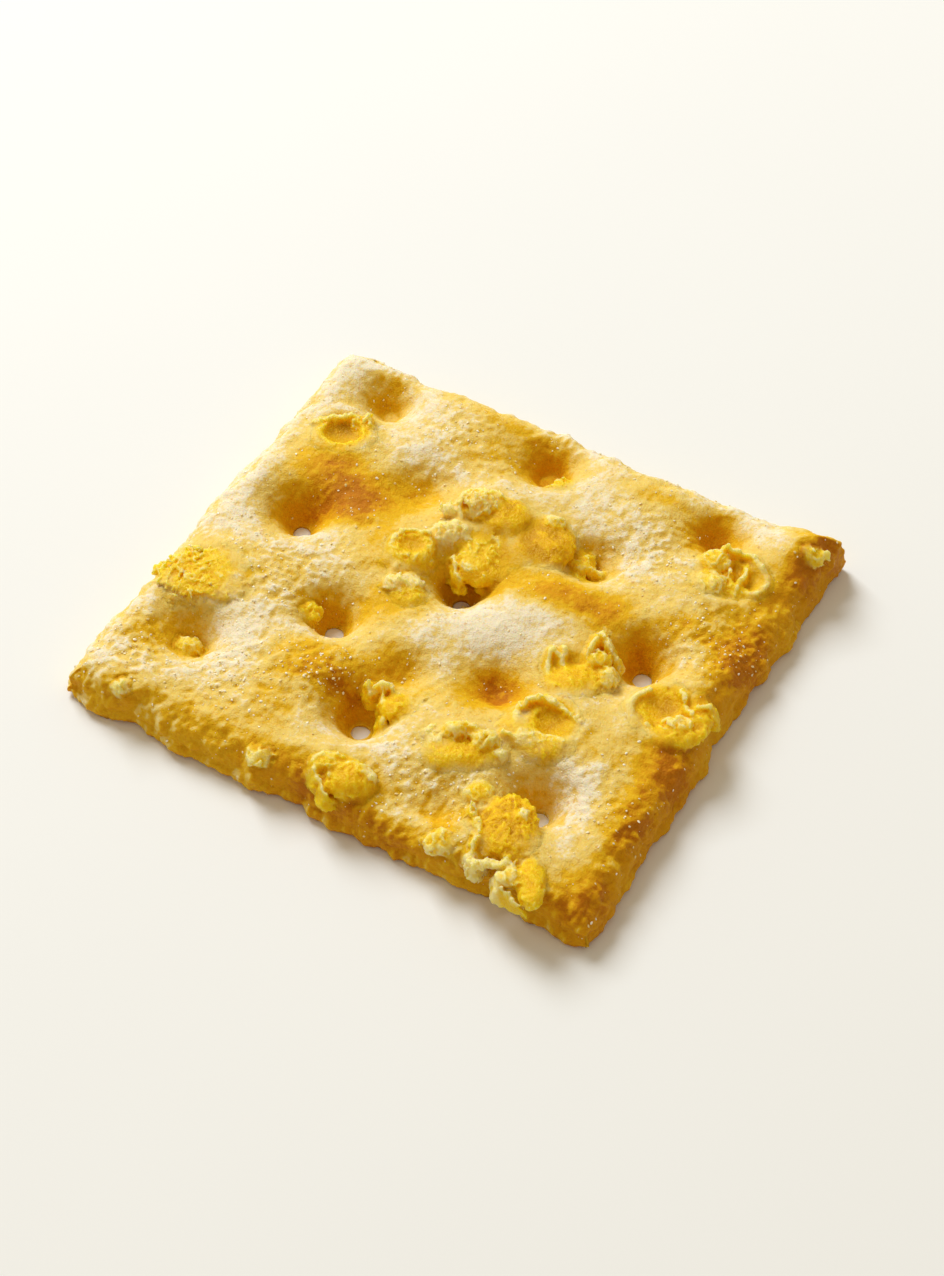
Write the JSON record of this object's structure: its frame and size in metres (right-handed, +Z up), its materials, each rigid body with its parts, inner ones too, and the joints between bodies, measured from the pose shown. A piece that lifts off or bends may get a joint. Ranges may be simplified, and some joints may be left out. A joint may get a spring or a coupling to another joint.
{
  "type": "corn cracker",
  "caption": "Square puffed cracker with docker holes, a pinched browned rim and pieces of sweetcorn baked into its top, lying flat.",
  "frame": {"origin": "middle of the bounding box on the flat underside, where the cracker rests", "axes": "+Z up out of the top with the corn, +X along the longer side, +Y along the shorter side towards the corner with the burst kernel"},
  "size_m": [0.0504, 0.046, 0.0067],
  "materials": {
    "crust": "dry matte baked crust, cream on the raised parts, golden in the hollows and toasted brown in patches and round the rim",
    "corn": "baked sweetcorn, glossy and slightly see-through yellow with pale torn edges"
  },
  "bodies": {
    "root": {"cracker": "crust"}
  },
  "joints": []
}
